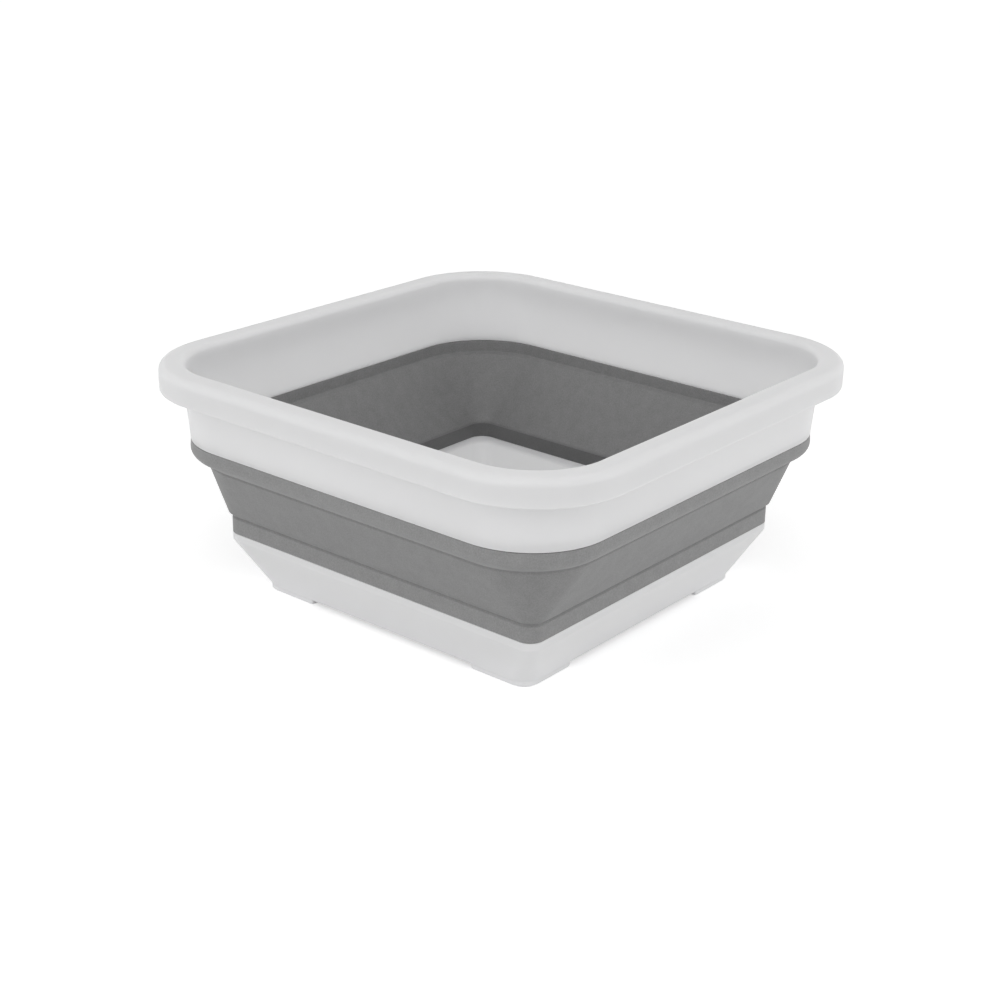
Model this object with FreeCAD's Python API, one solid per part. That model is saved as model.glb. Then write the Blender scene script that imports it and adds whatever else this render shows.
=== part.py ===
import FreeCAD, Part
import os
from math import radians, sin, tan

os.makedirs("parts", exist_ok=True)

# A square folding bowl. Sizes are in millimetres and heights count up from the surface it stands on.
# A half is half the width of a rounded square, a corner is its corner radius seen from above.

# Rim: a lip with a turned-down skirt, above a plain band
bowl_width = 320.0           # across the lip, outside
lip_corner = 58.5
lip_top_width = 15.4         # flat top of the lip, inner wall to outer face
lip_plate = 2.8
skirt_depth = 15.8
skirt_wall = 2.6
lip_outer_round = 4.5
lip_inner_round = 3.0
skirt_edge_round = 1.0
rim_height = 46.5            # lip top down to the outer bond line
rim_step = 14.9              # lip face in to the bond line
rim_wall = 2.7
rim_draft = 4.9              # degrees the band leans out
rim_bond_corner = 48.0
inner_bond_corner = 52.0
bond_rise = 2.3              # the bond line stands higher inside than outside

# Soft folding wall: an upper band, a folding panel between two creases, and a lower band
upper_band_height = 5.9
shoulder_height = 7.6
shoulder_step = 7.5
shoulder_bulge = 1.7         # how far the shoulder swells past a straight slope
upper_crease_corner = 43.0
inner_crease_rise = 7.4      # the inner crease stands this far above the outer one
inner_crease_corner = 50.0
panel_height = 36.9
panel_step = 19.7
flare_height = 2.2           # small turn-out just above the lower crease
flare_step = 2.0
lower_crease_corner = 9.0
lower_band_height = 11.0
soft_wall = 2.6
hinge_gap = 0.3              # parting at each crease, so that the moving zones pass freely
upper_hinge_set = 1.3        # parting line outside the upper crease
upper_hinge_corner = 48.0    # between the corners of the outer and the inner crease
lower_hinge_set = 1.1        # parting line outside the lower crease

# Bond: a tongue of hard plastic inside the soft wall, all the way round
tongue_width = 0.9
tongue_depth = 5.0

# Base: a tray with sloping sides on four corner feet
base_band_height = 4.4
base_side_height = 29.7
base_step = 15.15
base_corner = 12.0
base_wall = 2.6
floor_thickness = 3.0
floor_round = 4.0
foot_height = 3.0
foot_inset = 1.25
foot_leg = 40.0              # length of each leg along the side, from the corner
foot_width = 10.0

# Heights, from the feet up
side_foot_z = foot_height
floor_z = side_foot_z + floor_thickness
side_top_z = side_foot_z + base_side_height
base_bond_z = side_top_z + base_band_height
lower_crease_z = base_bond_z + lower_band_height
upper_crease_z = lower_crease_z + panel_height
shoulder_z = upper_crease_z + shoulder_height
rim_bond_z = shoulder_z + upper_band_height
inner_bond_z = rim_bond_z + bond_rise
lip_z = rim_bond_z + rim_height
skirt_z = lip_z - skirt_depth
plate_z = lip_z - lip_plate

# Half widths, from the lip in
lip_half = bowl_width / 2
rim_half = lip_half - rim_step
upper_crease_half = rim_half - shoulder_step
lower_crease_half = upper_crease_half - panel_step
base_half = lower_crease_half - base_step

# Slope of the panel's flat outer face, and of the base's sides, as width gained per height
panel_slope = (panel_step - flare_step) / (panel_height - flare_height)
side_slope = base_step / base_side_height

# Two places closer than this are the same
same = 0.01


def square_wire(half, corner, z):
    """A level square with rounded corners, centred on the Z axis."""
    flat = half - corner
    diagonal = flat + corner * sin(radians(45))
    side_start = FreeCAD.Vector(half, -flat, z)
    side_end = FreeCAD.Vector(half, flat, z)
    corner_middle = FreeCAD.Vector(diagonal, diagonal, z)
    corner_end = FreeCAD.Vector(flat, half, z)
    side = Part.LineSegment(side_start, side_end).toShape()
    turn = Part.Arc(side_end, corner_middle, corner_end).toShape()
    edges = []
    for quarter in range(4):
        for edge in (side, turn):
            placed = edge.copy()
            placed.rotate(FreeCAD.Vector(0, 0, 0), FreeCAD.Vector(0, 0, 1), 90 * quarter)
            edges.append(placed)
    return Part.Wire(edges)


def prism(half, corner, low_z, high_z):
    """An upright rounded square."""
    foot = Part.Face(square_wire(half, corner, low_z))
    return foot.extrude(FreeCAD.Vector(0, 0, high_z - low_z))


def stack(stations):
    """A solid through level rounded squares, each given as half, corner and height."""
    return Part.makeLoft([square_wire(*station) for station in stations], True, True)


def edges_at(shape, half, z):
    """The level edges of a shape that follow the rounded square of this half width and height."""
    found = []
    for edge in shape.Edges:
        box = edge.BoundBox
        level = abs(box.ZMin - z) < same and abs(box.ZMax - z) < same
        reach = max(abs(box.XMin), abs(box.XMax), abs(box.YMin), abs(box.YMax))
        if level and abs(reach - half) < same:
            found.append(edge)
    return found


def tongue(half, corner, wall, low_z, high_z):
    """The tongue in the middle of a wall whose outer face has this half width and corner."""
    outer_set = (wall - tongue_width) / 2
    inner_set = outer_set + tongue_width
    outer = prism(half - outer_set, corner - outer_set, low_z, high_z)
    inner = prism(half - inner_set, corner - inner_set, low_z, high_z)
    return outer.cut(inner)


def rim_tongue():
    """The rim's tongue, which hangs into the soft wall."""
    return tongue(rim_half, rim_bond_corner, rim_wall, rim_bond_z - tongue_depth, rim_bond_z)


def base_tongue():
    """The base's tongue, which stands up into the soft wall."""
    return tongue(lower_crease_half, lower_crease_corner, base_wall, base_bond_z, base_bond_z + tongue_depth)


def bond_step():
    """Room inside the rim's tongue, where the soft wall reaches up to the inner bond line."""
    step = (rim_wall + tongue_width) / 2
    return prism(rim_half - step, rim_bond_corner - step, rim_bond_z, inner_bond_z)


def rim_frame():
    """Lip, skirt and band in one moulding, hollow under the lip."""
    skirt_half = lip_half - skirt_wall
    mouth_half = lip_half - lip_top_width
    lean = tan(radians(rim_draft)) * (plate_z - rim_bond_z)
    rim = prism(lip_half, lip_corner, skirt_z, lip_z)
    rim = rim.makeFillet(lip_outer_round, edges_at(rim, lip_half, lip_z))
    rim = rim.cut(prism(skirt_half, lip_corner - skirt_wall, skirt_z, plate_z))
    skirt_edges = edges_at(rim, lip_half, skirt_z) + edges_at(rim, skirt_half, skirt_z)
    rim = rim.makeFillet(skirt_edge_round, skirt_edges)
    band = stack([
        (rim_half, rim_bond_corner, rim_bond_z),
        (rim_half + lean, rim_bond_corner + lean, plate_z),
    ])
    mouth = stack([
        (rim_half - rim_wall, inner_bond_corner, inner_bond_z),
        (mouth_half, lip_corner - lip_top_width, lip_z),
    ])
    rim = rim.fuse(band).cut([mouth, bond_step()]).Solids[0]
    rim = rim.makeFillet(lip_inner_round, edges_at(rim, mouth_half, lip_z))
    return rim.fuse(rim_tongue()).removeSplitter()


def folding_wall():
    """The whole soft wall, bond to bond."""
    flare_half = lower_crease_half + flare_step
    flare_z = lower_crease_z + flare_height
    swell_half = (rim_half + upper_crease_half) / 2 + shoulder_bulge
    swell_corner = (rim_bond_corner + upper_crease_corner) / 2
    swell_z = (shoulder_z + upper_crease_z) / 2 - shoulder_bulge
    inner_lower_half = lower_crease_half - soft_wall
    inner_lower_corner = lower_crease_corner - soft_wall
    inner_upper_half = upper_crease_half + panel_slope * inner_crease_rise - soft_wall
    outer = stack([
        (lower_crease_half, lower_crease_corner, base_bond_z),
        (lower_crease_half, lower_crease_corner, lower_crease_z),
        (flare_half, lower_crease_corner + flare_step, flare_z),
        (upper_crease_half, upper_crease_corner, upper_crease_z),
        (swell_half, swell_corner, swell_z),
        (rim_half, rim_bond_corner, shoulder_z),
        (rim_half, rim_bond_corner, rim_bond_z),
    ])
    inner = stack([
        (inner_lower_half, inner_lower_corner, base_bond_z),
        (inner_lower_half, inner_lower_corner, lower_crease_z),
        (inner_upper_half, inner_crease_corner, upper_crease_z + inner_crease_rise),
        (rim_half - rim_wall, inner_bond_corner, inner_bond_z),
    ])
    wall = outer.fuse(bond_step())
    return wall.cut([inner, rim_tongue(), base_tongue()])


def wall_zones():
    """The soft wall parted at its creases: upper band, folding panel and lower band."""
    wall = folding_wall()
    upper_half = upper_crease_half + upper_hinge_set
    lower_half = lower_crease_half + lower_hinge_set
    lower_corner = lower_crease_corner + lower_hinge_set
    inside_upper = prism(upper_half, upper_hinge_corner, 0, lip_z)
    panel_outside = prism(upper_half - hinge_gap, upper_hinge_corner - hinge_gap, 0, lip_z)
    panel_inside = prism(lower_half + hinge_gap, lower_corner + hinge_gap, 0, lip_z)
    inside_lower = prism(lower_half, lower_corner, 0, lip_z)
    upper_band = wall.cut(inside_upper)
    panel = wall.common(panel_outside).cut(panel_inside)
    lower_band = wall.common(inside_lower)
    return upper_band, panel, lower_band


def feet():
    """Four corner feet, each with two legs along the sides of the base."""
    outer_half = base_half - foot_inset
    corner = base_corner - foot_inset
    root_z = side_foot_z + floor_thickness / 2
    track = prism(outer_half, corner, 0, root_z)
    track = track.cut(prism(outer_half - foot_width, corner, 0, root_z))
    gap = 2 * (outer_half - foot_leg)
    for long_x, long_y in ((bowl_width, gap), (gap, bowl_width)):
        low_corner = FreeCAD.Vector(-long_x / 2, -long_y / 2, 0)
        track = track.cut(Part.makeBox(long_x, long_y, root_z, low_corner))
    return track


def base_tray():
    """Sloping tray with its tongue on top and its feet below."""
    inside_half = lower_crease_half - base_wall
    inside_corner = lower_crease_corner - base_wall
    floor_half = base_half + side_slope * floor_thickness - base_wall
    outer = stack([
        (base_half, base_corner, side_foot_z),
        (lower_crease_half, lower_crease_corner, side_top_z),
        (lower_crease_half, lower_crease_corner, base_bond_z),
    ])
    inner = stack([
        (floor_half, base_corner - base_wall, floor_z),
        (inside_half, inside_corner, side_top_z),
        (inside_half, inside_corner, base_bond_z),
    ])
    inner = inner.makeFillet(floor_round, edges_at(inner, floor_half, floor_z))
    tray = outer.cut(inner).fuse([base_tongue(), feet()])
    return tray.removeSplitter()


upper_fold_band, fold_panel, lower_fold_band = wall_zones()
nodes = {
    "rim_frame": rim_frame(),
    "upper_fold_band": upper_fold_band,
    "fold_panel": fold_panel,
    "lower_fold_band": lower_fold_band,
    "base_tray": base_tray(),
}
for name, shape in nodes.items():
    shape.exportStep("parts/" + name + ".step")
    print(name, "solids", len(shape.Solids), "valid", shape.isValid(), "volume", round(shape.Volume), "mm3")
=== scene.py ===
from math import acos, cos, pi, radians, sin, tan

import bmesh
import bpy
from mathutils import Matrix, Vector


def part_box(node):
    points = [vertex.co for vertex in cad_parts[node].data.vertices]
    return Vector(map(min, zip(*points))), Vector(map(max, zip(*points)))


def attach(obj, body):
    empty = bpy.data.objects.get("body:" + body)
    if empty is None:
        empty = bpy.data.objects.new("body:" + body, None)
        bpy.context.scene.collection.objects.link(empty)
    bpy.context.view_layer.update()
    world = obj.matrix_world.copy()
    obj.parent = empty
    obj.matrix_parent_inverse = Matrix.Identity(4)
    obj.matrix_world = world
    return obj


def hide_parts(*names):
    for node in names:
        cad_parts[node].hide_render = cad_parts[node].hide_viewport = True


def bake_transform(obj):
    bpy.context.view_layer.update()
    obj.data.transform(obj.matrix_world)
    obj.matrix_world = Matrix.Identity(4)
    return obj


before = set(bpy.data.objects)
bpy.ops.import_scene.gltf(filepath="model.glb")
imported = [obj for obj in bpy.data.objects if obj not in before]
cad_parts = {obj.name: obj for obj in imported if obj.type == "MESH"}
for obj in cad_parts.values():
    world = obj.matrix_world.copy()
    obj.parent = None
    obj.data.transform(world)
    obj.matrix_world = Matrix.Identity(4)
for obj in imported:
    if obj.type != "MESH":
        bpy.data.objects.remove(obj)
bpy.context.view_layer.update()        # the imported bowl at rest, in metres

mm = 0.001
scene = bpy.context.scene
scene.view_settings.view_transform = "Standard"
print("frame loaded:", sorted(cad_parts))

# Main sizes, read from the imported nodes, in millimetres
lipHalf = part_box("rim_frame")[1].x / mm
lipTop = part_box("rim_frame")[1].z / mm
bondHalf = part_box("upper_fold_band")[1].x / mm    # white meets grey, under the rim
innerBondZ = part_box("upper_fold_band")[1].z / mm
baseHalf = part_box("base_tray")[1].x / mm          # grey meets white, on the base
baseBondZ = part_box("lower_fold_band")[0].z / mm

rimBondRise = 2.3        # the bonds stand this much higher inside
baseBondRise = 0.8
outerBondZ = innerBondZ - rimBondRise

# How finely the pieces are meshed
meshing = {
    "side": 20,          # faces along one straight side
    "corner": 28,        # faces round one corner
    "arcShare": 0.48,    # most of a straight that one arc may take up
    "holdShare": 0.49,   # how far along it the point that holds the arc may stand
    "hold": 0.5,         # mm from the arc to that point
    "merge": 0.01,       # mm, points nearer than this are one
    "order": (1.0, 0.618, 0.387),    # points are sorted along this, so that each run merges them alike
    "sharp": 40,         # degrees, edges that turn more are kept crisp
}


# Shape helpers

def squareRing(half, corner, z):
    # one level rounded square, anticlockwise, as points in metres
    flat = half - corner
    sideCuts, cornerCuts = meshing["side"], meshing["corner"]
    quarter = [(half, -flat + 2 * flat * i / sideCuts) for i in range(sideCuts)]
    for i in range(cornerCuts):
        turn = pi / 2 * i / cornerCuts
        quarter.append((flat + corner * cos(turn), flat + corner * sin(turn)))
    points = []
    for spin in range(4):
        c, s = round(cos(spin * pi / 2)), round(sin(spin * pi / 2))
        points += [Vector((x * c - y * s, x * s + y * c, z)) * mm for x, y in quarter]
    return points


def roundTurns(turns, plane, closed, steps=7):
    # each turn is a point and a bend radius, and becomes an arc with a holding point on either side;
    # the radius counts in the plane of the two axes given
    points = [Vector(point) for point, bend in turns]
    hold, most = meshing["hold"], meshing["holdShare"]
    out = []
    for i, (point, bend) in enumerate(turns):
        at = points[i]
        if bend == 0 or (not closed and i in (0, len(points) - 1)):
            out.append(at)
            continue
        before, after = points[i - 1], points[(i + 1) % len(points)]
        flatIn = Vector([(at - before)[k] for k in plane])
        flatOut = Vector([(after - at)[k] for k in plane])
        turn = acos(max(-1, min(1, flatIn.normalized().dot(flatOut.normalized()))))
        reach = bend * tan(turn / 2)
        shareIn = min(reach / flatIn.length, meshing["arcShare"])
        shareOut = min(reach / flatOut.length, meshing["arcShare"])
        start, end = at.lerp(before, shareIn), at.lerp(after, shareOut)
        weight = cos(turn / 2)
        out.append(at.lerp(before, min(shareIn + hold / flatIn.length, most)))
        for k in range(steps + 1):
            t = k / steps
            a, b, c = (1 - t) ** 2, 2 * t * (1 - t) * weight, t ** 2
            out.append((start * a + at * b + end * c) / (a + b + c))
        out.append(at.lerp(after, min(shareOut + hold / flatOut.length, most)))
    return out


def closeStations(stations, longest):
    # adds stations round a closed section, so that no two neighbours are further apart than longest
    out = []
    for i, a in enumerate(stations):
        b = stations[(i + 1) % len(stations)]
        parts = max(1, round((b - a).length / longest))
        out += [a.lerp(b, k / parts) for k in range(parts)]
    return out


def loft(name, stations, closed):
    # skins the rounded squares; an open row of stations gets a flat cap at each end
    rings = [squareRing(*s) for s in stations]
    size = len(rings[0])
    faces = []
    for r in range(len(rings) if closed else len(rings) - 1):
        low, high = r * size, ((r + 1) % len(rings)) * size
        for i in range(size):
            j = (i + 1) % size
            faces.append((low + i, low + j, high + j, high + i))
    if not closed:
        last = (len(rings) - 1) * size
        faces.append(tuple(reversed(range(size))))
        faces.append(tuple(range(last, last + size)))
    mesh = bpy.data.meshes.new(name)
    mesh.from_pydata([p for ring in rings for p in ring], [], faces)
    tidyMesh(mesh)
    return addObject(name, mesh)


def tidyMesh(mesh):
    # points in a fixed order and none doubled, faces outward, smooth except at true edges
    work = bmesh.new()
    work.from_mesh(mesh)
    work.verts.sort(key=lambda vert: vert.co.dot(meshing["order"]))
    bmesh.ops.remove_doubles(work, verts=work.verts, dist=meshing["merge"] * mm)
    bmesh.ops.recalc_face_normals(work, faces=work.faces)
    work.to_mesh(mesh)
    work.free()
    mesh.polygons.foreach_set("use_smooth", [True] * len(mesh.polygons))
    mesh.set_sharp_from_angle(angle=radians(meshing["sharp"]))


def addObject(name, data):
    made = bpy.data.objects.new(name, data)
    scene.collection.objects.link(made)
    return made


# Materials

def hexLinear(code):
    # sRGB hex to the linear colour a shader takes
    parts = [int(code[i:i + 2], 16) / 255 for i in (1, 3, 5)]
    return [p / 12.92 if p <= 0.04045 else ((p + 0.055) / 1.055) ** 2.4 for p in parts] + [1]


def addNode(tree, kind, settings=None, links=None):
    # settings name a node's option or an input socket, links name an input and its source
    node = tree.nodes.new(kind)
    for key, value in (settings or {}).items():
        if isinstance(key, str) and hasattr(node, key):
            setattr(node, key, value)
        else:
            node.inputs[key].default_value = value
    for key, source in (links or {}).items():
        tree.links.new(source, node.inputs[key])
    return node


def newMaterial(name):
    material = bpy.data.materials.new(name)
    material.use_nodes = True
    material.node_tree.nodes.clear()
    return material, material.node_tree


# Polypropylene, injection moulded: a milky white with a satin skin. The eye sees soft wide highlights,
# faint clouding where the melt flowed, and light that passes through the thin wall, so that its inside
# is nearly as bright.
polypropylene = {
    "thin": "#E4E4E5",       # the two ends of the clouding
    "thick": "#E7E7E8",
    "cloud": 38.0,           # mm, width of the flow clouding
    "cloudDetail": 2.0,
    "texture": 0.7,          # mm; the tool's real texture is nearer 0.1 and would not show
    "textureDetail": 3.0,
    "textureDepth": 0.012,   # mm
    "textureStrength": 0.5,
    "ior": 1.49,
    "roughness": (0.42, 0.52),
    "scatterDepth": 15.0,    # mm, several walls deep, so daylight on one side shows on the other
    "scatterColours": (1.0, 1.0, 1.0),    # red, green and blue go equally deep
    "bondFade": 4.5,         # mm, beside a bond, where rubber backs the edge, no light comes through
    "floorFade": (8, 20),    # mm, heights over which it sets in; the floor below lies over its own shadow
}


def scatterMask(tree, place):
    # 1 where the wall scatters light, down to 0 at the two bonds and on the tray's floor
    p = polypropylene
    middle, reach = (outerBondZ + baseBondZ) / 2, (outerBondZ - baseBondZ) / 2
    height = addNode(tree, "ShaderNodeSeparateXYZ", {}, {0: place}).outputs["Z"]
    drop = addNode(tree, "ShaderNodeMath", {"operation": "SUBTRACT", 1: middle * mm}, {0: height})
    away = addNode(tree, "ShaderNodeMath", {"operation": "ABSOLUTE"}, {0: drop.outputs[0]})
    clearOfBond = addNode(tree, "ShaderNodeMapRange",
                          {"From Min": reach * mm, "From Max": (reach + p["bondFade"]) * mm},
                          {"Value": away.outputs[0]})
    clearOfFloor = addNode(tree, "ShaderNodeMapRange",
                           {"From Min": p["floorFade"][0] * mm, "From Max": p["floorFade"][1] * mm},
                           {"Value": height})
    both = addNode(tree, "ShaderNodeMath", {"operation": "MULTIPLY"},
                   {0: clearOfBond.outputs["Result"], 1: clearOfFloor.outputs["Result"]})
    return both.outputs[0]


def satinPolypropylene():
    p = polypropylene
    material, tree = newMaterial("satin_moulded_polypropylene")
    place = addNode(tree, "ShaderNodeTexCoord").outputs["Object"]
    cloud = addNode(tree, "ShaderNodeTexNoise",
                    {"Scale": 1 / (p["cloud"] * mm), "Detail": p["cloudDetail"]}, {"Vector": place})
    grain = addNode(tree, "ShaderNodeTexNoise",
                    {"Scale": 1 / (p["texture"] * mm), "Detail": p["textureDetail"]}, {"Vector": place})
    colour = addNode(tree, "ShaderNodeMix",
                     {"data_type": "RGBA", 6: hexLinear(p["thin"]), 7: hexLinear(p["thick"])},
                     {0: cloud.outputs["Fac"]})
    rough = addNode(tree, "ShaderNodeMapRange",
                    {"To Min": p["roughness"][0], "To Max": p["roughness"][1]},
                    {"Value": grain.outputs["Fac"]})
    bump = addNode(tree, "ShaderNodeBump",
                   {"Strength": p["textureStrength"], "Distance": p["textureDepth"] * mm},
                   {"Height": grain.outputs["Fac"]})
    scatter = scatterMask(tree, place)
    shader = addNode(tree, "ShaderNodeBsdfPrincipled",
                     {"IOR": p["ior"], "Subsurface Scale": p["scatterDepth"] * mm,
                      "Subsurface Radius": p["scatterColours"]},
                     {"Base Color": colour.outputs[2], "Roughness": rough.outputs["Result"],
                      "Subsurface Weight": scatter, "Normal": bump.outputs["Normal"]})
    addNode(tree, "ShaderNodeOutputMaterial", {}, {"Surface": shader.outputs["BSDF"]})
    return material


# Thermoplastic rubber, moulded against an etched tool: a dry mid grey. The eye sees a fine even grain,
# almost no highlight, and a slight bloom where the surface turns away.
softRubber = {
    "dark": "#606060",       # the two ends of the grain
    "light": "#989898",
    "grain": 0.8,            # mm; etched grain is nearer 0.3 and is drawn coarser so that it shows
    "grainDetail": 3.0,
    "grainRoughness": 0.6,
    "grainDepth": 0.06,      # mm
    "grainStrength": 0.6,
    "mottle": 7.0,           # mm
    "mottleDetail": 2.0,
    "mottleShare": 0.25,     # of the colour's variation, the rest is grain
    "ior": 1.51,
    "roughness": (0.52, 0.64),
    "bloom": 0.06,
    "bloomRoughness": 0.5,
}

# The same rubber on the upright bands above and below the folding panel, with colours a shade lighter:
# painted light, standing in for the extra light that the upright bands catch.
litBandRubber = dict(softRubber, dark="#666666", light="#A0A0A0")

# The same rubber on the inner face below the lower crease: lower roughness, a finer grain and no sheen,
# with darker colours that are painted shade for that low inner band under the overhanging panel.
shadedInnerRubber = dict(softRubber, dark="#525252", light="#7A7A7A", grainDepth=0.02,
                  roughness=(0.42, 0.5), bloom=0.0)


def grainedRubber(name, p):
    material, tree = newMaterial(name)
    place = addNode(tree, "ShaderNodeTexCoord").outputs["Object"]
    grain = addNode(tree, "ShaderNodeTexNoise",
                    {"Scale": 1 / (p["grain"] * mm), "Detail": p["grainDetail"],
                     "Roughness": p["grainRoughness"]}, {"Vector": place})
    mottle = addNode(tree, "ShaderNodeTexNoise",
                     {"Scale": 1 / (p["mottle"] * mm), "Detail": p["mottleDetail"]}, {"Vector": place})
    both = addNode(tree, "ShaderNodeMix", {"data_type": "FLOAT", 0: p["mottleShare"]},
                   {2: grain.outputs["Fac"], 3: mottle.outputs["Fac"]})
    colour = addNode(tree, "ShaderNodeMix",
                     {"data_type": "RGBA", 6: hexLinear(p["dark"]), 7: hexLinear(p["light"])},
                     {0: both.outputs[0]})
    rough = addNode(tree, "ShaderNodeMapRange",
                    {"To Min": p["roughness"][0], "To Max": p["roughness"][1]},
                    {"Value": grain.outputs["Fac"]})
    bump = addNode(tree, "ShaderNodeBump",
                   {"Strength": p["grainStrength"], "Distance": p["grainDepth"] * mm},
                   {"Height": grain.outputs["Fac"]})
    shader = addNode(tree, "ShaderNodeBsdfPrincipled",
                     {"IOR": p["ior"], "Sheen Weight": p["bloom"], "Sheen Roughness": p["bloomRoughness"]},
                     {"Base Color": colour.outputs[2], "Roughness": rough.outputs["Result"],
                      "Normal": bump.outputs["Normal"]})
    addNode(tree, "ShaderNodeOutputMaterial", {}, {"Surface": shader.outputs["BSDF"]})
    return material


white = satinPolypropylene()
grey = grainedRubber("grained_thermoplastic_rubber", softRubber)
# a lighter copy of the rubber: painted light for the upright outer bands
litBandGrey = grainedRubber("lit_band_thermoplastic_rubber", litBandRubber)
# a darker, smoother copy of the rubber: painted shade for the low inner band
shadedInnerGrey = grainedRubber("smooth_shaded_inner_rubber", shadedInnerRubber)
print("materials made")


# In the dictionaries of the pieces, lengths are in millimetres and heights count up from the floor. A half
# is half the width of a rounded square, a corner its radius seen from above, and a bend rounds the section.

# Rim: lip, turned-down skirt and band in one moulding, hollow under the lip
rim = {
    "lipCorner": 58.5,
    "lipWidth": 15.4,
    "skirtDepth": 15.8,
    "skirtWall": 2.6,
    "plate": 2.8,
    "bondCorner": 48.0,
    "innerBondCorner": 52.0,
    "wall": 2.7,
    "lean": 3.7,             # the band's outer face at the plate stands this far outside the bond
    "lipOuterBend": 4.5,
    "lipInnerBend": 3.0,
    "skirtBend": 1.1,
    "edgeBend": 0.45,        # the bonded edges
    "rootBend": 2.0,         # under the lip
}


def makeRim():
    r = rim
    skirtZ = lipTop - r["skirtDepth"]
    plateZ = lipTop - r["plate"]
    skirtHalf, skirtCorner = lipHalf - r["skirtWall"], r["lipCorner"] - r["skirtWall"]
    section = [
        ((lipHalf, r["lipCorner"], skirtZ), r["skirtBend"]),
        ((lipHalf, r["lipCorner"], lipTop), r["lipOuterBend"]),
        ((lipHalf - r["lipWidth"], r["lipCorner"] - r["lipWidth"], lipTop), r["lipInnerBend"]),
        ((bondHalf - r["wall"], r["innerBondCorner"], innerBondZ), r["edgeBend"]),
        ((bondHalf, r["bondCorner"], outerBondZ), r["edgeBend"]),
        ((bondHalf + r["lean"], r["bondCorner"] + r["lean"], plateZ), r["rootBend"]),
        ((skirtHalf, skirtCorner, plateZ), r["rootBend"]),
        ((skirtHalf, skirtCorner, skirtZ), r["skirtBend"]),
    ]
    return loft("rim_moulding", roundTurns(section, (0, 2), True), True)


# Folding wall: one soft moulding from the rim's bond to the base's bond, thinned at its two creases
wall = {
    "bondCorner": 48.0,
    "innerBondCorner": 52.0,
    "rimWall": 2.7,
    "shoulder": (145.1, 46.5, 90.2),         # half, corner, height
    "creaseUpper": (136.5, 42.2, 84.5),      # tucked in under the shoulder, so that it reads as a line
    "panelTop": (136.9, 43.0, 83.3),
    "innerLedge": (141.9, 51.8, 93.1),
    "innerUpper": (139.0, 50.2, 91.7),
    "flare": (119.9, 11.0, 50.3),
    "lowerCorner": 9.0,
    "innerLowerCorner": 10.0,
    "innerTuck": 1.8,                        # the inner crease stands in past the band below it
    "innerCreaseZ": 49.2,
    "shadeDrop": 1.2,                         # the painted shade and the smoother finish start this far below it
    "creaseLowerZ": 48.1,
    "thickness": 2.6,
    "grooveWidth": 1.3,                      # the soft notch that starts the lower fold
    "grooveDepth": 0.8,
    "shoulderBend": 6.5,
    "upperCreaseBend": 0.9,
    "creaseBend": 0.5,
    "innerBend": 0.6,
    "innerLowerBend": 3.0,
    "flareBend": 2.5,
    "edgeBend": 0.45,
    "steps": 5,                              # faces round each bend
    "longest": 2.5,                          # spacing of stations, so that the wall folds smoothly
    "foldTop": 88.5,                         # heights between which it gives way
    "foldFoot": 49.0,
}


def makeWall():
    w = wall
    innerHalf, innerCorner = baseHalf - w["thickness"], w["innerLowerCorner"]
    notchHalf, notchCorner = baseHalf - w["grooveDepth"], w["lowerCorner"] - w["grooveDepth"]
    section = [
        ((bondHalf, w["bondCorner"], outerBondZ), w["edgeBend"]),
        (w["shoulder"], w["shoulderBend"]),
        (w["creaseUpper"], w["upperCreaseBend"]),
        (w["panelTop"], w["upperCreaseBend"]),
        (w["flare"], w["flareBend"]),
        ((notchHalf, notchCorner, w["creaseLowerZ"]), w["creaseBend"]),
        ((baseHalf, w["lowerCorner"], w["creaseLowerZ"] - w["grooveWidth"]), w["creaseBend"]),
        ((baseHalf, w["lowerCorner"], baseBondZ), w["edgeBend"]),
        ((innerHalf, innerCorner, baseBondZ + baseBondRise), w["edgeBend"]),
        ((innerHalf - w["innerTuck"], innerCorner, w["innerCreaseZ"]), w["innerLowerBend"]),
        (w["innerUpper"], w["innerBend"]),
        (w["innerLedge"], w["innerBend"]),
        ((bondHalf - w["rimWall"], w["innerBondCorner"], innerBondZ), w["edgeBend"]),
    ]
    stations = roundTurns(section, (0, 2), True, w["steps"])
    return loft("folding_wall", closeStations(stations, w["longest"]), True)


def coatZones(piece):
    # the inner face below the crease gets a darker copy of the rubber, painted shade; the outer bands above
    # and below the folding panel get a lighter copy, painted light
    w = wall
    shadedInnerSlot, litBandSlot = 1, 2
    piece.data.materials.append(shadedInnerGrey)
    piece.data.materials.append(litBandGrey)
    shadedInnerTop = w["innerCreaseZ"] - w["shadeDrop"]
    panelFoot, panelTop = w["creaseLowerZ"] - w["grooveWidth"], w["creaseUpper"][2]
    for face in piece.data.polygons:
        inward = face.normal.x * face.center.x + face.normal.y * face.center.y < 0
        z = face.center.z / mm
        if inward and z < shadedInnerTop:
            face.material_index = shadedInnerSlot
        elif not inward and (z < panelFoot or z > panelTop):
            face.material_index = litBandSlot


# Base: tray with sloping sides on four corner feet
base = {
    "corner": 9.0,
    "innerCorner": 10.0,
    "wall": 2.6,
    "band": 4.4,             # upright strip under the bond
    "footHalf": 102.75,      # the tray's lower edge
    "footCorner": 12.0,
    "underZ": 3.0,           # the floor's underside and top
    "floorZ": 6.0,
    "floorHalf": 101.6,
    "floorCorner": 13.0,
    "capHalf": 60.0,         # flat middle of the floor
    "capCorner": 8.0,
    "sideBend": 2.5,
    "heelBend": 1.2,
    "floorBend": 5.0,
    "edgeBend": 0.45,
}
foot = {
    "inset": 0.7,            # in from the tray's lower edge
    "corner": 9.0,
    "leg": 40.0,
    "width": 10.0,
    "root": 1.2,             # how far it runs up into the floor
    "endBend": 1.6,
    "soleBend": 0.6,
    "steps": 10,             # faces round each corner of a foot
    "soleSteps": 3,          # and round the edge of its sole
    "soleProfile": 0.5,      # a plain quarter round
}


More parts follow.
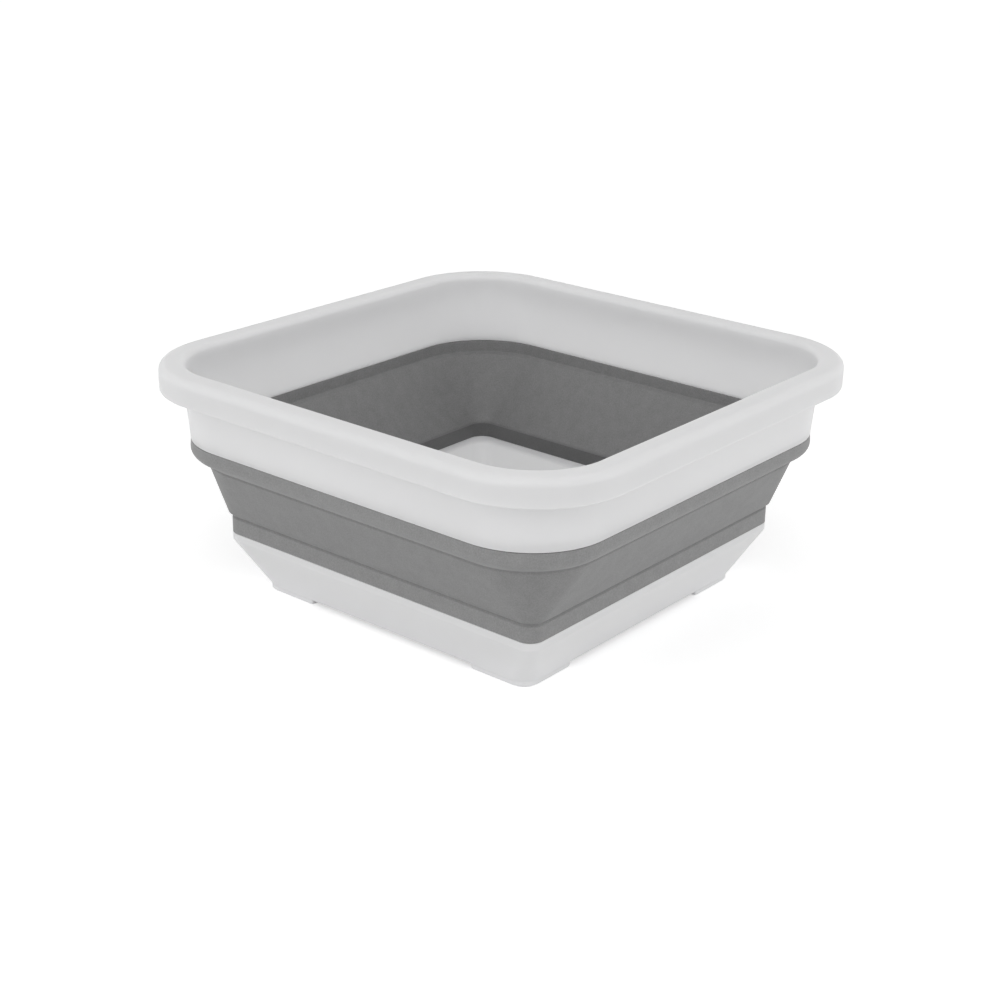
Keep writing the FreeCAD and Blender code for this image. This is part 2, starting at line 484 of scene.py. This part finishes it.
def makeBase():
    b = base
    sideZ = baseBondZ - b["band"]
    innerHalf, innerCorner = baseHalf - b["wall"], b["innerCorner"]
    section = [
        ((b["capHalf"], b["capCorner"], b["underZ"]), 0),
        ((b["footHalf"], b["footCorner"], b["underZ"]), b["heelBend"]),
        ((baseHalf, b["corner"], sideZ), b["sideBend"]),
        ((baseHalf, b["corner"], baseBondZ), b["edgeBend"]),
        ((innerHalf, innerCorner, baseBondZ + baseBondRise), b["edgeBend"]),
        ((innerHalf, innerCorner, sideZ), b["sideBend"]),
        ((b["floorHalf"], b["floorCorner"], b["floorZ"]), b["floorBend"]),
        ((b["capHalf"], b["capCorner"], b["floorZ"]), 0),
    ]
    tray = loft("base_moulding", roundTurns(section, (0, 2), False), False)
    feet = makeFeet()
    union = tray.modifiers.new("feet", "BOOLEAN")
    union.operation = "UNION"
    union.solver = "EXACT"
    union.object = feet
    ready = tray.evaluated_get(bpy.context.evaluated_depsgraph_get())
    mesh = bpy.data.meshes.new_from_object(ready)
    tray.modifiers.clear()
    tray.data = mesh
    bpy.data.objects.remove(feet)
    tidyMesh(mesh)
    even = tray.modifiers.new("even_shading", "WEIGHTED_NORMAL")
    even.keep_sharp = True
    return tray


def makeFeet():
    f = foot
    outer = base["footHalf"] - f["inset"]
    inner = outer - f["width"]
    legEnd = outer - f["leg"]
    top = base["underZ"] + f["root"]
    outline = [
        ((outer, legEnd), f["endBend"]),
        ((outer, outer), f["corner"]),
        ((legEnd, outer), f["endBend"]),
        ((legEnd, inner), f["endBend"]),
        ((inner, inner), f["corner"]),
        ((inner, legEnd), f["endBend"]),
    ]
    points = roundTurns(outline, (0, 1), True, f["steps"])
    work = bmesh.new()
    for quarter in range(4):
        spin = Matrix.Rotation(quarter * pi / 2, 4, "Z")
        ring = [work.verts.new(spin @ Vector((p.x * mm, p.y * mm, top * mm))) for p in points]
        sole = work.faces.new(ring)
        grown = bmesh.ops.extrude_face_region(work, geom=[sole])
        low = [g for g in grown["geom"] if isinstance(g, bmesh.types.BMVert)]
        for vert in low:
            vert.co.z = 0
        soleEdges = [e for e in work.edges if e.verts[0] in low and e.verts[1] in low]
        bmesh.ops.bevel(work, geom=soleEdges, offset=f["soleBend"] * mm, segments=f["soleSteps"],
                        profile=f["soleProfile"], affect="EDGES")
    mesh = bpy.data.meshes.new("feet")
    work.to_mesh(mesh)
    work.free()
    tidyMesh(mesh)
    return addObject("feet", mesh)


rimPiece = makeRim()
wallPiece = makeWall()
basePiece = makeBase()
dressing = (
    (rimPiece, white, "white_polypropylene"),
    (wallPiece, grey, "grey_soft_wall"),
    (basePiece, white, "white_polypropylene"),
)
for piece, material, slot in dressing:
    piece.data.materials.clear()
    piece.data.materials.append(material)
coatZones(wallPiece)
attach(rimPiece, "rim")
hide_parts("rim_frame")
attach(basePiece, "base")
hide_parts("base_tray")
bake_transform(wallPiece)
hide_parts("upper_fold_band", "fold_panel", "lower_fold_band")
print("pieces made:", [piece.name for piece in (rimPiece, wallPiece, basePiece)])


# Camera: the photograph's place and lens, for a square picture
view = {
    "target": (0.0, 0.0, 65.0),      # mm
    "distance": 1083.0,              # mm
    "azimuth": -50.797,              # degrees, 0 looks along +Y
    "elevation": 21.266,
    "roll": 1.117,
    "focal": 1.7896,                 # picture widths
    "centre": (0.50334, 0.48269),    # the lens axis in the picture, from its top left corner
    "sensor": 36.0,                  # mm
}


def makeCamera():
    v = view
    a, e = radians(v["azimuth"]), radians(v["elevation"])
    back = Vector((sin(a) * cos(e), -cos(a) * cos(e), sin(e)))
    level = Vector((cos(a), sin(a), 0))
    right = level * cos(radians(v["roll"])) + back.cross(level) * sin(radians(v["roll"]))
    up = back.cross(right)
    lens = bpy.data.cameras.new("photo_lens")
    lens.sensor_width = v["sensor"]
    lens.lens = v["focal"] * v["sensor"]
    lens.shift_x = 0.5 - v["centre"][0]
    lens.shift_y = v["centre"][1] - 0.5
    camera = addObject("photo_camera", lens)
    place = (Vector(v["target"]) + back * v["distance"]) * mm
    camera.matrix_world = Matrix.Translation(place) @ Matrix((right, up, back)).transposed().to_4x4()
    scene.camera = camera


makeCamera()
print("camera placed")


# Studio: white paper in even light, with a low fill on each side and a weak one from the front
studio = {
    "floorColour": "#FAFAFA",
    "floorLift": 0.38,               # added for the camera only, so that the paper reads white
    "floorSize": 12.0,               # m
    "floorDrop": 0.0001,             # m, keeps the paper clear of the soles of the feet
    "lightColour": "#FFFFFF",
    "ambient": 0.68,
    "backdrop": 1.0,                 # what the camera sees of the sky
    "aim": (0, 0, 0.07),             # m, the middle of the bowl
    "lamps": {
        "left_fill": {"place": (-1.50, 0.35, 0.60), "size": 1.0, "watts": 3.6},
        "right_fill": {"place": (0.66, -1.46, 0.35), "size": 1.0, "watts": 3.6},
        "front_fill": {"place": (-0.84, -0.69, 1.23), "size": 1.0, "watts": 2.6},
    },
}


def cameraRays(tree):
    # 1 for what the camera sees itself, in a reflection or through glass
    path = addNode(tree, "ShaderNodeLightPath")
    seen = addNode(tree, "ShaderNodeMath", {"operation": "MAXIMUM"},
                   {0: path.outputs["Is Camera Ray"], 1: path.outputs["Is Glossy Ray"]})
    return addNode(tree, "ShaderNodeMath", {"operation": "MAXIMUM"},
                   {0: seen.outputs[0], 1: path.outputs["Is Transmission Ray"]}).outputs[0]


def makeFloor():
    # studio paper, uncoated and matt: the eye sees an even white with soft shadows and no highlight
    material, tree = newMaterial("white_paper_sweep")
    paper = addNode(tree, "ShaderNodeBsdfDiffuse", {"Color": hexLinear(studio["floorColour"])})
    lift = addNode(tree, "ShaderNodeMath", {"operation": "MULTIPLY", 1: studio["floorLift"]},
                   {0: cameraRays(tree)})
    glow = addNode(tree, "ShaderNodeEmission", {"Color": hexLinear(studio["lightColour"])},
                   {"Strength": lift.outputs[0]})
    both = addNode(tree, "ShaderNodeAddShader", {}, {0: paper.outputs[0], 1: glow.outputs[0]})
    addNode(tree, "ShaderNodeOutputMaterial", {}, {"Surface": both.outputs[0]})
    half, z = studio["floorSize"] / 2, -studio["floorDrop"]
    corners = [(-half, -half, z), (half, -half, z), (half, half, z), (-half, half, z)]
    mesh = bpy.data.meshes.new("floor")
    mesh.from_pydata(corners, [], [(0, 1, 2, 3)])
    mesh.materials.append(material)
    floor = addObject("floor", mesh)


def makeLight():
    world = bpy.data.worlds.new("studio")
    scene.world = world
    world.use_nodes = True
    tree = world.node_tree
    tree.nodes.clear()
    level = addNode(tree, "ShaderNodeMapRange",
                    {"To Min": studio["ambient"], "To Max": studio["backdrop"]},
                    {"Value": cameraRays(tree)})
    sky = addNode(tree, "ShaderNodeBackground", {"Color": hexLinear(studio["lightColour"])},
                  {"Strength": level.outputs["Result"]})
    addNode(tree, "ShaderNodeOutputWorld", {}, {"Surface": sky.outputs[0]})
    for name, lamp in studio["lamps"].items():
        light = bpy.data.lights.new(name, "AREA")
        light.shape = "DISK"
        light.size = lamp["size"]
        light.energy = lamp["watts"]
        lampHead = addObject(name, light)
        lampHead.location = lamp["place"]
        fromAim = Vector(lamp["place"]) - Vector(studio["aim"])
        lampHead.rotation_euler = fromAim.to_track_quat("Z", "Y").to_euler()


makeFloor()
makeLight()
print("studio lit")
